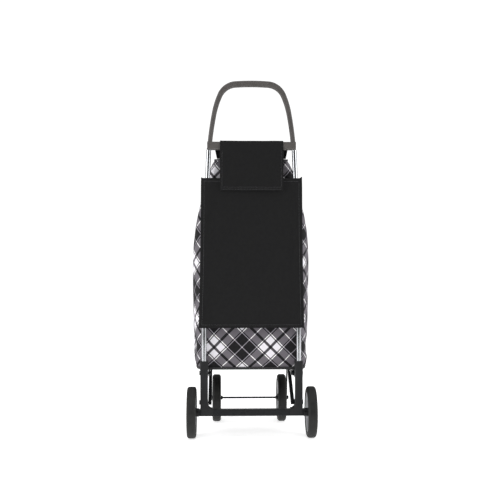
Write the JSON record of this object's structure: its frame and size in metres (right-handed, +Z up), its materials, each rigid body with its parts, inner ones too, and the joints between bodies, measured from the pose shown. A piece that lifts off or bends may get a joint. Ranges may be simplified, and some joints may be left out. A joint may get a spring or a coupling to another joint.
{
  "type": "shopping trolley on wheels",
  "caption": "Wheeled shopping trolley with a tall tartan bag on a tube frame, a loop handle, a carry flap and a folding front undercarriage.",
  "frame": {"origin": "on the floor under the middle of the wheelbase, at the bottom centre of the object's box", "axes": "+Z up, +Y towards the bag's front, +X to the right seen from the handle side"},
  "size_m": [0.3858, 0.415, 1.0676],
  "materials": {
    "polished_aluminium": "polished tube",
    "handle_plastic": "moulded dark grey plastic",
    "bracket_plastic": "moulded black plastic",
    "black_steel": "black powder coat",
    "end_plug_plastic": "moulded",
    "axle_steel": "drawn steel",
    "fastener_steel": "black plated steel",
    "cap_plastic": "moulded",
    "tartan_fabric": "woven polyester tartan, coated inside",
    "black_fabric": "black woven polyester",
    "black_webbing": "woven webbing",
    "buckle_plastic": "moulded",
    "base_plastic": "extruded sheet",
    "rim_plastic": "moulded light grey",
    "tyre_rubber": "moulded rubber"
  },
  "bodies": {
    "frame": {"left_frame_tube": "polished_aluminium", "right_frame_tube": "polished_aluminium", "handle": "handle_plastic", "rear_crossbar": "black_steel", "crossbar_end_plugs": "end_plug_plastic", "rear_axle": "axle_steel", "rear_axle_caps": "cap_plastic", "left_lower_bracket": "bracket_plastic", "right_lower_bracket": "bracket_plastic", "fold_pivot_bolts": "fastener_steel", "latch_pins": "fastener_steel", "bag_shell": "tartan_fabric", "rear_panel": "black_fabric", "hang_band": "black_fabric", "flap_fold": "black_fabric", "buckle_socket": "buckle_plastic", "bag_strap": "black_webbing"},
    "undercarriage": {"left_tray_arm": "black_steel", "left_front_leg": "black_steel", "right_tray_arm": "black_steel", "right_front_leg": "black_steel", "left_brace": "bracket_plastic", "right_brace": "bracket_plastic", "undercarriage_rivets": "fastener_steel", "tray_front_rod": "black_steel", "tray_rear_rod": "black_steel", "front_axle": "axle_steel", "front_axle_nuts": "fastener_steel", "front_hub_spacers": "cap_plastic", "base_board": "base_plastic"},
    "rear_left_wheel": {"rear_left_rim": "rim_plastic", "rear_left_tyre": "tyre_rubber"},
    "rear_right_wheel": {"rear_right_rim": "rim_plastic", "rear_right_tyre": "tyre_rubber"},
    "front_left_wheel": {"front_left_rim": "rim_plastic", "front_left_tyre": "tyre_rubber"},
    "front_right_wheel": {"front_right_rim": "rim_plastic", "front_right_tyre": "tyre_rubber"},
    "lid": {"bag_lid": "tartan_fabric", "lid_strap": "black_webbing", "buckle_plug": "buckle_plastic"},
    "flap": {"carry_flap": "black_fabric"}
  },
  "joints": [
    {"name": "front_fold", "type": "hinge", "parent": "frame", "child": "undercarriage", "pos_m": [0, -0.098, 0.19], "axis": [1, 0, 0], "range_deg": [0, 90], "deforming": ["bag_shell"]},
    {"name": "rear_left_wheel_spin", "type": "hinge", "parent": "frame", "child": "rear_left_wheel", "pos_m": [-0.179, -0.131, 0.0765], "axis": [1, 0, 0], "continuous": true},
    {"name": "rear_right_wheel_spin", "type": "hinge", "parent": "frame", "child": "rear_right_wheel", "pos_m": [0.179, -0.131, 0.0765], "axis": [1, 0, 0], "continuous": true},
    {"name": "front_left_wheel_spin", "type": "hinge", "parent": "undercarriage", "child": "front_left_wheel", "pos_m": [-0.1065, 0.131, 0.0765], "axis": [1, 0, 0], "continuous": true},
    {"name": "front_right_wheel_spin", "type": "hinge", "parent": "undercarriage", "child": "front_right_wheel", "pos_m": [0.1065, 0.131, 0.0765], "axis": [1, 0, 0], "continuous": true},
    {"name": "lid_hinge", "type": "hinge", "parent": "frame", "child": "lid", "pos_m": [0, -0.108, 0.836], "axis": [-1, 0, 0], "range_deg": [-90, 0]},
    {"name": "flap_lift", "type": "hinge", "parent": "frame", "child": "flap", "pos_m": [0, -0.1469, 0.8802], "axis": [-1, 0, 0], "range_deg": [0, 120]}
  ]
}
